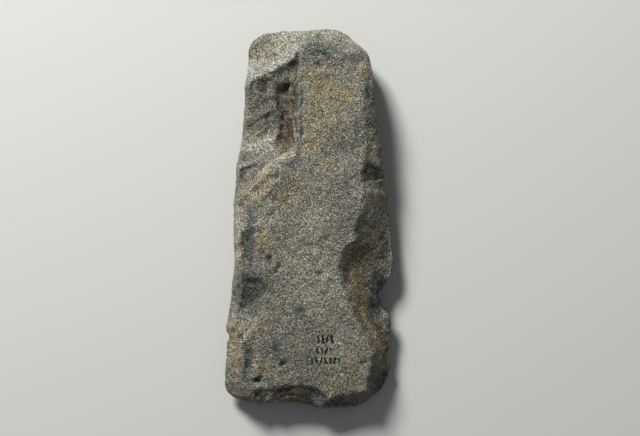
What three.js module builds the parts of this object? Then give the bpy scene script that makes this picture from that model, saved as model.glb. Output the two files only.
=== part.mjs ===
import * as THREE from 'three';

// A prehistoric stone axe-hoe, chipped from one slab of andesite. It lies on its flatter face:
// +Y runs from the wide bit to the narrow butt, +X is to the right seen from above, +Z is up.
// Lengths are millimetres. Headings are degrees from +X, turning towards +Y.

// Driving sizes
const BUTT_Y = 63.5;
const BIT_Y = -63.6;
const PEAK_X = 4;
const BOX_CENTRE = { x: -0.168, y: -0.056 };
const THICKNESS = 18.3;

// Thinning of the upper face towards each end: how much, from where, over what length, power
const THINNING = {
  butt: { by: 1.2, from: 8, over: 45, power: 2 },
  bit: { by: 7.2, from: 10, over: 73, power: 1.3 },
};

// The highest spot, where the scars of the butt leave a blunt peak
const APEX = { x: 3.5, reach: 7, from: 52, over: 7, height: 1.6 };

// Height of the parting edge and its fall towards the bit
const RIM = { height: 7.6, rounding: 2, drop: 3.6, from: -10, over: 54, power: 1.4 };

// Stretches where the rim stands higher
const RIM_SWELLS = [
  { x: 22, y: 37, reach: 20, height: 7.2 },
  { x: -21, y: 55, reach: 12, height: 2.6 },
];

// Half widths at stations along the blade
const WIDTHS = [
  { y: -64, left: 28.5, right: 26.4 },
  { y: -50, left: 28.3, right: 26.7 },
  { y: -33, left: 27.2, right: 26.8 },
  { y: -14, left: 25.6, right: 28.1 },
  { y: 6, left: 25.6, right: 26.1 },
  { y: 20, left: 24.2, right: 24.1 },
  { y: 28, left: 22.7, right: 23.0 },
  { y: 50, left: 21.0, right: 20.7 },
  { y: 64, left: 20.4, right: 19.8 },
];

// Notches broken out of the outline: where along the edge, how deep, half length
const NOTCHES = {
  left: [
    { at: 33, deep: 0.1, half: 7 },
    { at: 1, deep: 0.3, half: 3.5 },
    { at: -18, deep: 0.2, half: 9 },
    { at: -36.3, deep: -0.3, half: 1.8 },
    { at: -39.7, deep: 0.4, half: 1.6 },
  ],
  right: [
    { at: 38, deep: 0.4, half: 6 },
    { at: -25.7, deep: 3.1, half: 5.5 },
    { at: -46.4, deep: 0.7, half: 2.2 },
  ],
  bit: [{ at: -6.5, deep: 1.6, half: 7 }],
};
const CROWN_BEND = 0.033;
const BUTT_LEFT_FALL = 0.075;
const LEFT_CORNER = { radius: 6.5, x: -28.4, buttX: -20.6, bitY: -61, buttY: 61.8 };
const RIGHT_CORNER = { radius: 15.5, x: 26.6, bitY: -63.6 };
const BIT_BEND = 0.004;

// Where the four edges of the outline meet, by height along the blade
const CORNER_Y = { bitLeft: -59.1, bitRight: -59.06, buttLeft: 59.8, buttRight: 56 };

// Flake scars of the upper face. Each is cut down to the least of its planes; a plane starts
// at a point and gets deeper by slope along its heading, from the loss it has at the point.
const UPPER_SCARS = {
  buttBevel: [{ x: -3.2, y: 54.9, heading: 133, slope: 0.74 }],
  buttRight: [{ x: 6, y: 56.6, heading: 55, slope: 0.7 }],
  buttCorner: [{ x: 14, y: 56, heading: 86, slope: 0.8 }],
  wide: [
    { x: -3, y: 55.5, heading: -67, slope: 0.6, loss: 0.3 },
    { x: -3.2, y: 38, heading: 180, slope: 3.4 },
    { x: -5, y: 20.6, heading: 131, slope: 0.47 },
    { x: -10, y: 44, heading: -84, slope: 0.16, loss: 3.5 },
  ],
  groove: [
    { x: -6, y: 45.6, heading: -85, slope: 1.3, loss: 3.4 },
    { x: -4.2, y: 34, heading: 183, slope: 3 },
    { x: -10.2, y: 35, heading: 2, slope: 1.2, loss: 4.9 },
    { x: -7, y: 21.4, heading: 95, slope: 1.2 },
    { x: -7, y: 33, heading: -92, slope: 0.06, loss: 6.5 },
  ],
  rightFacet: [
    { x: 17.3, y: 15, heading: -12, slope: 1.15 },
    { x: 20, y: 18.4, heading: -90, slope: 3 },
    { x: 20, y: 11.4, heading: 90, slope: 3 },
  ],
  leftTrim: [
    { x: -12.5, y: 10, heading: 170, slope: 0.62 },
    { x: -12, y: 23, heading: -80, slope: 1 },
    { x: -15, y: -2, heading: 100, slope: 0.8 },
  ],
  leftEdge: [{ x: -22.4, y: -8, heading: 180, slope: 1.5 }],
  lowHollow: [
    { x: -15.2, y: -18.2, heading: 214, slope: 0.9 },
    { x: -13, y: -28, heading: 150, slope: 0.5 },
    { x: -22, y: -18.6, heading: -100, slope: 0.9 },
    { x: -18, y: -24, heading: -100, slope: 0.26, loss: 2 },
  ],
  lowEdge: [
    { x: -22.4, y: -43, heading: 188, slope: 1 },
    { x: -24, y: -32.8, heading: -90, slope: 2 },
  ],
  bitCorner: [{ x: -22, y: -57, heading: 235, slope: 1.2 }],
  bitRight: [{ x: 9, y: -59.8, heading: -76, slope: 1.1 }],
};

// Round scars of the upper face: centre, radii, slope of the wall and depth of the floor
const UPPER_BOWLS = [
  { x: -5, y: -65.4, across: 13.4, along: 10.4, slope: 0.64, floor: 7 },
  { x: -17, y: -54.8, across: 3, along: 2, slope: 0.6, floor: 0.7 },
  { x: -19.6, y: -6.5, across: 2.8, along: 10, slope: 0.5, floor: 1.1 },
  { x: -19.6, y: -47, across: 2.6, along: 9, slope: 0.55, floor: 1.1 },
  { x: -16, y: -60.4, across: 6.4, along: 4.4, slope: 0.8, floor: 3.4 },
  { x: -15.5, y: 44.6, across: 2.6, along: 3, slope: 0.6, floor: 1 },
];

// The right side, broken down from a shoulder to a foot and a sloping shelf out to the rim
const RIGHT_SIDE = [
  { y: -64, shoulder: 17.4, foot: 21, rise: 1 },
  { y: -58, shoulder: 19, foot: 23, rise: 1 },
  { y: -50, shoulder: 20.8, foot: 25, rise: 1 },
  { y: -45, shoulder: 20.6, foot: 24, rise: 3 },
  { y: -41, shoulder: 19, foot: 21.8, rise: 4 },
  { y: -37, shoulder: 17.2, foot: 19.6, rise: 4.4 },
  { y: -32, shoulder: 14.6, foot: 17, rise: 4.8 },
  { y: -27, shoulder: 12.2, foot: 14.8, rise: 5 },
  { y: -22, shoulder: 10.6, foot: 13.4, rise: 5.2 },
  { y: -18.5, shoulder: 9.6, foot: 13.4, rise: 5.4 },
  { y: -12, shoulder: 9.8, foot: 14, rise: 5.6 },
  { y: -8.5, shoulder: 13.6, foot: 16.6, rise: 5.6 },
  { y: -3.5, shoulder: 14.8, foot: 17.8, rise: 5.4 },
  { y: 2, shoulder: 16.4, foot: 20.4, rise: 5.6 },
  { y: 8, shoulder: 17.3, foot: 22.2, rise: 5.6 },
  { y: 12, shoulder: 17.3, foot: 22.4, rise: 4.4 },
  { y: 17, shoulder: 17.4, foot: 22.8, rise: 3.4 },
  { y: 20, shoulder: 17.8, foot: 23.4, rise: 3.2 },
  { y: 24, shoulder: 18.4, foot: 23.6, rise: 2.2 },
  { y: 29, shoulder: 18.8, foot: 23.2, rise: 1 },
  { y: 34, shoulder: 18.6, foot: 22.6, rise: 0.6 },
  { y: 40, shoulder: 17.8, foot: 22, rise: 0.5 },
  { y: 46, shoulder: 17.4, foot: 21.6, rise: 0.5 },
  { y: 56, shoulder: 17.2, foot: 20.4, rise: 0.6 },
  { y: 62, shoulder: 17, foot: 18.4, rise: 1 },
];
const STATION_BLUR = [-1.8, -0.9, 0, 0.9, 1.8];
const SHELF_POWER = 1.2;
const NARROWEST = { wall: 0.5, shelf: 1.2 };

// Ribs left by slanting trims on the left side
const RIBS = {
  heading: 132,
  crest: 20.6,
  pitch: 4.9,
  height: 0.45,
  middle: 18.5,
  reach: 7.5,
  start: -9.5,
  fade: 5,
};

// The last strip flaked off along the rim, above and below
const RIM_TRIM = { upper: { wide: 1.2, slope: 2 }, lower: { wide: 2.6, slope: 1.5 } };

// Flake scars of the underside, which is otherwise one flat face at z = 0
const LOWER_SCARS = {
  bit: [{ x: 0, y: -44, heading: -91, slope: 0.2 }],
  leftLong: [{ x: -17.5, y: 5, heading: 176, slope: 0.75 }],
  leftLow: [{ x: -20.5, y: -40, heading: 196, slope: 0.9 }],
  leftTop: [
    { x: -14.2, y: 38, heading: 168, slope: 0.8 },
    { x: -14, y: 26, heading: 84, slope: 0.7 },
    { x: -14, y: 51, heading: -80, slope: 0.7 },
  ],
  rightLong: [{ x: 17, y: -8, heading: 4, slope: 0.8 }],
  rightMiddle: [
    { x: 13.5, y: -22, heading: -12, slope: 0.75 },
    { x: 15, y: -6, heading: -80, slope: 0.6 },
    { x: 15, y: -40, heading: 80, slope: 0.6 },
  ],
  butt: [{ x: 2, y: 52.5, heading: 96, slope: 0.62 }],
};

// Slow wanders that keep faces, rim and scar lines from running true: amount, size, seed
const WANDER = {
  face: [[0.3, 24, 0.5]],
  rim: [[0.6, 26, 4]],
  upperX: [[0.5, 20, 1], [0.15, 7, 2]],
  upperY: [[0.5, 20, 3], [0.15, 7, 5]],
  upperTrim: [[0.5, 8, 6]],
  lowerX: [[0.6, 20, 7]],
  lowerY: [[0.6, 20, 8]],
  lowerTrim: [[0.9, 11, 9]],
};

// Widths of the rounded lines where surfaces meet
const BLEND = {
  crown: 1.6,
  planes: 0.7,
  scars: 0.8,
  floor: 0.6,
  bowl: 0.5,
  foot: 1.2,
  shoulder: 0.9,
  rim: 1,
};
const LEAST_ABOVE_RIM = 0.5;
const LEAST_BELOW_RIM = 0.6;

// Mesh
const CELLS_ACROSS = 34;
const CELLS_ALONG = 70;
const EDGE_CROWDING = 0.4;

const radians = THREE.MathUtils.degToRad;
const clamp = THREE.MathUtils.clamp;
const lerp = THREE.MathUtils.lerp;

function smoothMax(a, b, blend) {
  const near = Math.max(blend - Math.abs(a - b), 0) / blend;
  return Math.max(a, b) + near * near * blend / 4;
}

function smoothMin(a, b, blend) {
  return -smoothMax(-a, -b, blend);
}

// An even, unrepeating wander between about -1 and 1 with features of one size
function drift(x, y, size, seed) {
  const WAVES = 5;
  let sum = 0;
  for (let k = 0; k < WAVES; k++) {
    const turn = 2.4 * k + seed;
    const rate = 2 * Math.PI * (1 + 0.21 * k) / (1.4 * size);
    sum += Math.sin(rate * (x * Math.cos(turn) + y * Math.sin(turn)) + 1.7 * k * k + seed);
  }
  return sum / 2.2;
}

function wander(kind, x, y) {
  return WANDER[kind].reduce((sum, [amount, size, seed]) => sum + amount * drift(x, y, size, seed), 0);
}

// Reads a column of a table of stations, sorted by y, at any y
function station(rows, column, y) {
  if (y <= rows[0].y) return rows[0][column];
  for (let i = 1; i < rows.length; i++) {
    if (y < rows[i].y) {
      const t = (y - rows[i - 1].y) / (rows[i].y - rows[i - 1].y);
      return lerp(rows[i - 1][column], rows[i][column], t);
    }
  }
  return rows.at(-1)[column];
}

// How far a rounded corner draws an edge in, at a distance from the tangent line of the corner
function cornerInset(distance, radius) {
  const u = clamp(radius - distance, 0, radius);
  return radius - Math.sqrt(radius * radius - u * u);
}

function notch(edge, at) {
  return NOTCHES[edge].reduce((sum, n) => sum + n.deep * Math.exp(-(((at - n.at) / n.half) ** 4)), 0);
}

function leftEdge(y) {
  const corners = cornerInset(y - LEFT_CORNER.bitY, LEFT_CORNER.radius)
    + cornerInset(LEFT_CORNER.buttY - y, LEFT_CORNER.radius);
  return -station(WIDTHS, 'left', y) + notch('left', y) + corners;
}

function rightEdge(y) {
  const side = station(WIDTHS, 'right', y);
  const crown = PEAK_X + Math.sqrt(Math.max(BUTT_Y - y, 0) / CROWN_BEND);
  const corner = cornerInset(y - RIGHT_CORNER.bitY, RIGHT_CORNER.radius);
  return smoothMin(side, crown, BLEND.crown) - notch('right', y) - corner;
}

function buttEdge(x) {
  const u = x - PEAK_X;
  const fall = u < 0 ? BUTT_LEFT_FALL * -u : CROWN_BEND * u * u;
  return BUTT_Y - fall - cornerInset(x - LEFT_CORNER.buttX, LEFT_CORNER.radius);
}

function bitEdge(x) {
  const bend = BIT_BEND * (clamp(x, LEFT_CORNER.x + LEFT_CORNER.radius, PEAK_X) - PEAK_X) ** 2;
  const corners = cornerInset(x - LEFT_CORNER.x, LEFT_CORNER.radius)
    + cornerInset(RIGHT_CORNER.x - x, RIGHT_CORNER.radius);
  return BIT_Y + bend + notch('bit', x) + corners;
}

// Plan position of (s, t), s from left to right and t from bit to butt: a patch that blends the
// four edges, so that the mesh follows the outline without any cell at a sharp corner
function planPoint(s, t) {
  const c = CORNER_Y;
  const leftY = lerp(c.bitLeft, c.buttLeft, t);
  const rightY = lerp(c.bitRight, c.buttRight, t);
  const bitX = lerp(leftEdge(c.bitLeft), rightEdge(c.bitRight), s);
  const buttX = lerp(leftEdge(c.buttLeft), rightEdge(c.buttRight), s);
  const gap = (edge, side, y) => y - edge(side(y));
  const bitGap = lerp(gap(bitEdge, leftEdge, c.bitLeft), gap(bitEdge, rightEdge, c.bitRight), s);
  const buttGap = lerp(gap(buttEdge, leftEdge, c.buttLeft), gap(buttEdge, rightEdge, c.buttRight), s);
  const ends = lerp(bitEdge(bitX) + bitGap, buttEdge(buttX) + buttGap, t);
  const corners = lerp(lerp(c.bitLeft, c.bitRight, s), lerp(c.buttLeft, c.buttRight, s), t);
  return { x: lerp(leftEdge(leftY), rightEdge(rightY), s), y: lerp(leftY, rightY, s) + ends - corners };
}

// Distance in from the rim, smooth over the corners
function depthIn(x, y) {
  const LEAST = 0.001;
  const gaps = [x - leftEdge(y), rightEdge(y) - x, buttEdge(x) - y, y - bitEdge(x)];
  return gaps.reduce((sum, gap) => sum + Math.max(gap, LEAST) ** -2, 0) ** -0.5;
}

// Height of the unflaked upper face: flat, thinner towards both ends, with slow swells
function upperFace(x, y) {
  const thinner = (end, past) => end.by * (Math.max(past, 0) / end.over) ** end.power;
  const butt = thinner(THINNING.butt, y - THINNING.butt.from);
  const bit = thinner(THINNING.bit, THINNING.bit.from - y);
  const along = clamp((y - APEX.from) / APEX.over, 0, 1);
  const apex = APEX.height * along ** 2 * Math.exp(-(((x - APEX.x) / APEX.reach) ** 2));
  return THICKNESS - butt - bit + apex + wander('face', x, y);
}

function rimHeight(x, y) {
  const drop = RIM.drop * clamp((RIM.from - y) / RIM.over, 0, 1) ** RIM.power;
  const swell = RIM_SWELLS.reduce((sum, s) =>
    sum + s.height * Math.exp(-((x - s.x) ** 2 + (y - s.y) ** 2) / s.reach ** 2), 0);
  return RIM.height - drop + swell + wander('rim', x, y);
}

function planeLoss(plane, x, y) {
  const turn = radians(plane.heading);
  const past = (x - plane.x) * Math.cos(turn) + (y - plane.y) * Math.sin(turn);
  return (plane.loss ?? 0) + plane.slope * past;
}

function scarLoss(scars, x, y) {
  let loss = 0;
  for (const planes of Object.values(scars)) {
    const losses = planes.map((plane) => planeLoss(plane, x, y));
    const scar = losses.reduce((a, b) => smoothMin(a, b, BLEND.planes));
    loss = smoothMax(loss, scar, BLEND.scars);
  }
  return loss;
}

function bowlLoss(bowl, x, y) {
  const reach = Math.hypot((x - bowl.x) / bowl.across, (y - bowl.y) / bowl.along);
  return smoothMin(bowl.slope * (1 - reach) * Math.min(bowl.across, bowl.along), bowl.floor, BLEND.floor);
}

// The surface of the broken right side at a place where the upper face and the rim have known heights
function rightSideHeight(x, y, face, rim) {
  const share = 1 / STATION_BLUR.length;
  const blurred = (column) =>
    STATION_BLUR.reduce((sum, shift) => sum + share * station(RIGHT_SIDE, column, y + shift), 0);
  const [shoulder, foot, rise] = ['shoulder', 'foot', 'rise'].map(blurred);
  const wall = face - (face - rim - rise) * (x - shoulder) / Math.max(foot - shoulder, NARROWEST.wall);
  const out = Math.max(x - foot, 0) / Math.max(rightEdge(y) - foot, NARROWEST.shelf);
  return smoothMax(wall, rim + rise * (1 - out ** SHELF_POWER), BLEND.foot);
}

function ribs(x, y) {
  const turn = radians(RIBS.heading);
  const across = x * Math.cos(turn) + y * Math.sin(turn);
  const inwards = clamp((RIBS.start - x) / RIBS.fade, 0, 1);
  const along = Math.exp(-(((across - RIBS.middle) / RIBS.reach) ** 2));
  return RIBS.height * Math.cos(2 * Math.PI * (across - RIBS.crest) / RIBS.pitch) * inwards * along;
}

// Carries a face out to the rim in a quarter round
function roundToRim(height, rim, depth) {
  const inwards = Math.min(depth, RIM.rounding) / RIM.rounding;
  return rim + (height - rim) * Math.sqrt(1 - (1 - inwards) ** 2);
}

function upperHeight(x, y) {
  const depth = depthIn(x, y);
  const u = x + wander('upperX', x, y);
  const v = y + wander('upperY', x, y);
  const face = upperFace(x, y);
  const rim = rimHeight(x, y);
  let loss = scarLoss(UPPER_SCARS, u, v);
  for (const bowl of UPPER_BOWLS) loss = smoothMax(loss, bowlLoss(bowl, u, v), BLEND.bowl);
  loss = smoothMax(loss, face - rightSideHeight(u, v, face, rim), BLEND.shoulder);
  const trim = RIM_TRIM.upper.wide + wander('upperTrim', x, y);
  loss = smoothMax(loss, RIM_TRIM.upper.slope * (trim - depth), BLEND.scars);
  const height = smoothMax(face - loss + ribs(x, y), rim + LEAST_ABOVE_RIM, BLEND.rim);
  return roundToRim(height, rim, depth);
}

function lowerHeight(x, y) {
  const depth = depthIn(x, y);
  const u = x + wander('lowerX', x, y);
  const v = y + wander('lowerY', x, y);
  const trim = RIM_TRIM.lower.wide + wander('lowerTrim', x, y);
  const rise = smoothMax(scarLoss(LOWER_SCARS, u, v), RIM_TRIM.lower.slope * (trim - depth), BLEND.scars);
  const rim = rimHeight(x, y);
  const height = Math.max(smoothMin(rise, rim - LEAST_BELOW_RIM, BLEND.scars), 0);
  return roundToRim(height, rim, depth);
}

// Spreads grid lines so that they stand closer together at both ends
function crowd(t) {
  return t - EDGE_CROWDING * Math.sin(2 * Math.PI * t) / (2 * Math.PI);
}

function bladeGeometry() {
  const positions = [];
  const triangles = [];
  const rows = CELLS_ALONG + 1;
  const columns = CELLS_ACROSS + 1;
  const isRim = (i, j) => i === 0 || j === 0 || i === CELLS_ACROSS || j === CELLS_ALONG;
  const place = (i, j) => planPoint(crowd(i / CELLS_ACROSS), crowd(j / CELLS_ALONG));

  function addVertex(x, y, z) {
    positions.push(x - BOX_CENTRE.x, y - BOX_CENTRE.y, z);
    return positions.length / 3 - 1;
  }

  const upper = [];
  const lower = [];
  for (let j = 0; j < rows; j++) {
    for (let i = 0; i < columns; i++) {
      const { x, y } = place(i, j);
      const top = addVertex(x, y, isRim(i, j) ? rimHeight(x, y) : upperHeight(x, y));
      upper.push(top);
      lower.push(isRim(i, j) ? top : addVertex(x, y, lowerHeight(x, y)));
    }
  }

  // Each cell is split along the diagonal that lies nearer the true surface at its middle
  function addFace(grid, height, facesUp) {
    for (let j = 0; j < CELLS_ALONG; j++) {
      for (let i = 0; i < CELLS_ACROSS; i++) {
        const corners = [[i, j], [i + 1, j], [i + 1, j + 1], [i, j + 1]];
        const [a, b, c, d] = corners.map(([p, q]) => grid[q * columns + p]);
        const middle = place(i + 0.5, j + 0.5);
        const target = height(middle.x, middle.y);
        const miss = (p, q) => Math.abs((positions[3 * p + 2] + positions[3 * q + 2]) / 2 - target);
        const split = miss(a, c) <= miss(b, d) ? [a, b, c, a, c, d] : [a, b, d, b, c, d];
        if (!facesUp) split.reverse();
        triangles.push(...split);
      }
    }
  }

  addFace(upper, upperHeight, true);
  addFace(lower, lowerHeight, false);
  const geometry = new THREE.BufferGeometry();
  geometry.setAttribute('position', new THREE.Float32BufferAttribute(positions, 3));
  geometry.setIndex(triangles);
  geometry.computeVertexNormals();
  return geometry;
}

const andesite = new THREE.MeshStandardMaterial({ color: 0x8f8a7c, roughness: 0.9, metalness: 0 });
const blade = new THREE.Mesh(bladeGeometry(), andesite);
blade.name = 'axe_hoe_blade';

const axeHoe = new THREE.Group();
axeHoe.add(blade);

export default axeHoe;
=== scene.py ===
import itertools
import math

import bpy
import numpy as np
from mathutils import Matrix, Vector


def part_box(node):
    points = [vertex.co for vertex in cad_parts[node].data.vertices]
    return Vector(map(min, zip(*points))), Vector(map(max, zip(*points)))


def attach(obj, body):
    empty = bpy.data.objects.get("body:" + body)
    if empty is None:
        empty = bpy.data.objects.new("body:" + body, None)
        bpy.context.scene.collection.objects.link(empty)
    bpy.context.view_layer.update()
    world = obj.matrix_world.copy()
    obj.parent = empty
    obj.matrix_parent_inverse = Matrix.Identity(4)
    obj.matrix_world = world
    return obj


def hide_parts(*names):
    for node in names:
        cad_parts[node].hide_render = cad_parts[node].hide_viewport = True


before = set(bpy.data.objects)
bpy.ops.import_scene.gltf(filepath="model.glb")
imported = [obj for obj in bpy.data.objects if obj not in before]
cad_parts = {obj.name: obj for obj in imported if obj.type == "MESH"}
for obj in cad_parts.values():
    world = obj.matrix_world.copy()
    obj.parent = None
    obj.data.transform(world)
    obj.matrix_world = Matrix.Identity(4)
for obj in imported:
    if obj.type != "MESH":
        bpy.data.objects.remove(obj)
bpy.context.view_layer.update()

# The blade, first its outline. The real one is a single slab of andesite, struck by hand into a
# long narrow shape with a wide bit and a narrow butt. Nothing is fixed to it, and it lies loose.
BLADE = "axe_hoe_blade"

# Lengths are millimetres: x to the right seen from above, y from bit to butt, z up.
# Headings are degrees from +x, turning towards +y.
BUTT_Y = 63.5
BIT_Y = -63.6
PEAK_X = 4
CROWN_BEND = 0.033
BUTT_LEFT_FALL = 0.075
BIT_BEND = 0.004

# Radius of each round corner, and the lines that its quarter circle touches
LEFT_CORNER = {"radius": 6.5, "x": -28.4, "butt x": -20.6, "bit y": -61, "butt y": 61.8}
RIGHT_CORNER = {"radius": 15.5, "x": 26.6, "bit y": -63.6}

# The y at which the bit and the butt meet the left side and the right side
MEETING_Y = {"bit": (-59.1, -59.06), "butt": (59.8, 56)}

# y, left and right half width
WIDTHS = np.array([
    (-64, 28.5, 26.4),
    (-50, 28.3, 26.7),
    (-33, 27.2, 26.8),
    (-14, 25.6, 28.1),
    (6, 25.6, 26.1),
    (20, 24.2, 24.1),
    (28, 22.7, 23.0),
    (50, 21.0, 20.7),
    (64, 20.4, 19.8),
])

# Where along the edge, how deep and half length of each notch broken out of the outline
NOTCHES = {
    "left": [(33, 0.1, 7), (1, 0.3, 3.5), (-18, 0.2, 9), (-36.3, -0.3, 1.8), (-39.7, 0.4, 1.6)],
    "right": [(38, 0.4, 6), (-25.7, 3.1, 5.5), (-46.4, 0.7, 2.2)],
    "bit": [(-6.5, 1.6, 7)],
}

# Width of the rounded change from the crown to the right side, and the least depth in from the rim
CROWN_BLEND = 1.6
LEAST_DEPTH = 0.001


def blend_max(a, b, blend):
    """The larger of a and b, with a rounded change over a band as wide as blend."""
    near = np.maximum(blend - np.abs(a - b), 0) / blend
    return np.maximum(a, b) + near * near * blend / 4


def blend_min(a, b, blend):
    """The smaller of a and b, with a rounded change."""
    return -blend_max(-a, -b, blend)


def mix(a, b, t):
    """The value at share t of the way from a to b."""
    return a + (b - a) * t


def corner_inset(distance, radius):
    """How far a quarter circle draws an edge in, by distance from the corner's tangent line."""
    u = np.clip(radius - distance, 0, radius)
    return radius - np.sqrt(radius * radius - u * u)


def notch(edge, at):
    """Sum of the edge's notches, each a flat-topped bell of the fourth power."""
    return sum(deep * np.exp(-((at - middle) / half) ** 4) for middle, deep, half in NOTCHES[edge])


def left_edge(y):
    """Left outline: half width from the stations, with notches and two round corners."""
    at_bit = corner_inset(y - LEFT_CORNER["bit y"], LEFT_CORNER["radius"])
    at_butt = corner_inset(LEFT_CORNER["butt y"] - y, LEFT_CORNER["radius"])
    return -np.interp(y, WIDTHS[:, 0], WIDTHS[:, 1]) + notch("left", y) + (at_bit + at_butt)


def right_edge(y):
    """Right outline: the smaller of the half width and the butt's crown parabola, less notches."""
    side = np.interp(y, WIDTHS[:, 0], WIDTHS[:, 2])
    crown = PEAK_X + np.sqrt(np.maximum(BUTT_Y - y, 0) / CROWN_BEND)
    corner = corner_inset(y - RIGHT_CORNER["bit y"], RIGHT_CORNER["radius"])
    return blend_min(side, crown, CROWN_BLEND) - notch("right", y) - corner


def butt_edge(x):
    """Butt outline: a straight fall to the left of the peak and a parabola to the right."""
    u = x - PEAK_X
    fall = np.where(u < 0, BUTT_LEFT_FALL * -u, CROWN_BEND * u * u)
    return BUTT_Y - fall - corner_inset(x - LEFT_CORNER["butt x"], LEFT_CORNER["radius"])


def bit_edge(x):
    """Bit outline: a shallow parabola to the left of the peak, a notch and two round corners."""
    bent_x = np.clip(x, LEFT_CORNER["x"] + LEFT_CORNER["radius"], PEAK_X)
    at_left = corner_inset(x - LEFT_CORNER["x"], LEFT_CORNER["radius"])
    at_right = corner_inset(RIGHT_CORNER["x"] - x, RIGHT_CORNER["radius"])
    return BIT_Y + BIT_BEND * (bent_x - PEAK_X) ** 2 + notch("bit", x) + (at_left + at_right)


def end_line(edge, meeting_y, s):
    """The bit or butt edge from side to side, shifted by a straight ramp to meet both sides."""
    meeting_x = [side(y) for side, y in zip((left_edge, right_edge), meeting_y)]
    gaps = [y - edge(x) for x, y in zip(meeting_x, meeting_y)]
    return edge(mix(*meeting_x, s)) + mix(*gaps, s)


def plan_point(s, t):
    """Patch that blends the four edges: the sum of the two ruled surfaces less the corner one."""
    bit, butt = MEETING_Y["bit"], MEETING_Y["butt"]
    left_y, right_y = mix(bit[0], butt[0], t), mix(bit[1], butt[1], t)
    ends = mix(end_line(bit_edge, bit, s), end_line(butt_edge, butt, s), t)
    corners = mix(mix(*bit, s), mix(*butt, s), t)
    return mix(left_edge(left_y), right_edge(right_y), s), ends + mix(left_y, right_y, s) - corners


def depth_in(x, y):
    """Distance in from the rim: the four edge distances joined by an inverse-square mean."""
    gaps = (x - left_edge(y), right_edge(y) - x, butt_edge(x) - y, y - bit_edge(x))
    return sum(np.maximum(gap, LEAST_DEPTH) ** -2.0 for gap in gaps) ** -0.5


# The blade's two faces. The maker left the top of the slab flat, struck wide flakes off its left
# and right sides and its butt, and trimmed the bit. The underside is flat in the middle.
THICKNESS = 18.3

# Widths of the rounded lines where planes, scars and the other surfaces meet
BLEND = {
    "planes": 0.7,
    "scars": 0.8,
    "floor": 0.6,
    "bowl": 0.5,
    "foot": 1.2,
    "shoulder": 0.9,
    "rim": 1,
}

# Thinning of the top towards each end: by how much, from which y, over what length, which is
# negative towards the bit, and the power
THINNING = [(1.2, 8, 45, 2), (7.2, 10, -73, 1.3)]

# The blunt peak that the scars of the butt leave, and the rim, where the two faces meet
APEX = {"x": 3.5, "reach": 7, "start": 52, "end": 59, "height": 1.6}
RIM = {"height": 7.6, "rounding": 2, "drop": 3.6, "start": -10, "end": -64, "power": 1.4}

# x, y, reach and height of the stretches where the rim stands higher
RIM_SWELLS = [(22, 37, 20, 7.2), (-21, 55, 12, 2.6)]

# Each scar is cut down to the least of its planes: x, y, heading, slope and loss at the point
UPPER_SCARS = {
    "butt bevel": [(-3.2, 54.9, 133, 0.74, 0)],
    "butt right": [(6, 56.6, 55, 0.7, 0)],
    "butt corner": [(14, 56, 86, 0.8, 0)],
    "wide": [
        (-3, 55.5, -67, 0.6, 0.3),
        (-3.2, 38, 180, 3.4, 0),
        (-5, 20.6, 131, 0.47, 0),
        (-10, 44, -84, 0.16, 3.5),
    ],
    "groove": [
        (-6, 45.6, -85, 1.3, 3.4),
        (-4.2, 34, 183, 3, 0),
        (-10.2, 35, 2, 1.2, 4.9),
        (-7, 21.4, 95, 1.2, 0),
        (-7, 33, -92, 0.06, 6.5),
    ],
    "right facet": [(17.3, 15, -12, 1.15, 0), (20, 18.4, -90, 3, 0), (20, 11.4, 90, 3, 0)],
    "left trim": [(-12.5, 10, 170, 0.62, 0), (-12, 23, -80, 1, 0), (-15, -2, 100, 0.8, 0)],
    "left edge": [(-22.4, -8, 180, 1.5, 0)],
    "low hollow": [
        (-15.2, -18.2, 214, 0.9, 0),
        (-13, -28, 150, 0.5, 0),
        (-22, -18.6, -100, 0.9, 0),
        (-18, -24, -100, 0.26, 2),
    ],
    "low edge": [(-22.4, -43, 188, 1, 0), (-24, -32.8, -90, 2, 0)],
    "bit corner": [(-22, -57, 235, 1.2, 0)],
    "bit right": [(9, -59.8, -76, 1.1, 0)],
}
LOWER_SCARS = {
    "bit": [(0, -44, -91, 0.2, 0)],
    "left long": [(-17.5, 5, 176, 0.75, 0)],
    "left low": [(-20.5, -40, 196, 0.9, 0)],
    "left top": [(-14.2, 38, 168, 0.8, 0), (-14, 26, 84, 0.7, 0), (-14, 51, -80, 0.7, 0)],
    "right long": [(17, -8, 4, 0.8, 0)],
    "right middle": [(13.5, -22, -12, 0.75, 0), (15, -6, -80, 0.6, 0), (15, -40, 80, 0.6, 0)],
    "butt": [(2, 52.5, 96, 0.62, 0)],
}

# x, y, two radii, wall slope and floor depth of the round scars
UPPER_BOWLS = [
    (-5, -65.4, 13.4, 10.4, 0.64, 7),
    (-17, -54.8, 3, 2, 0.6, 0.7),
    (-19.6, -6.5, 2.8, 10, 0.5, 1.1),
    (-19.6, -47, 2.6, 9, 0.55, 1.1),
    (-16, -60.4, 6.4, 4.4, 0.8, 3.4),
    (-15.5, 44.6, 2.6, 3, 0.6, 1),
]

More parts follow.
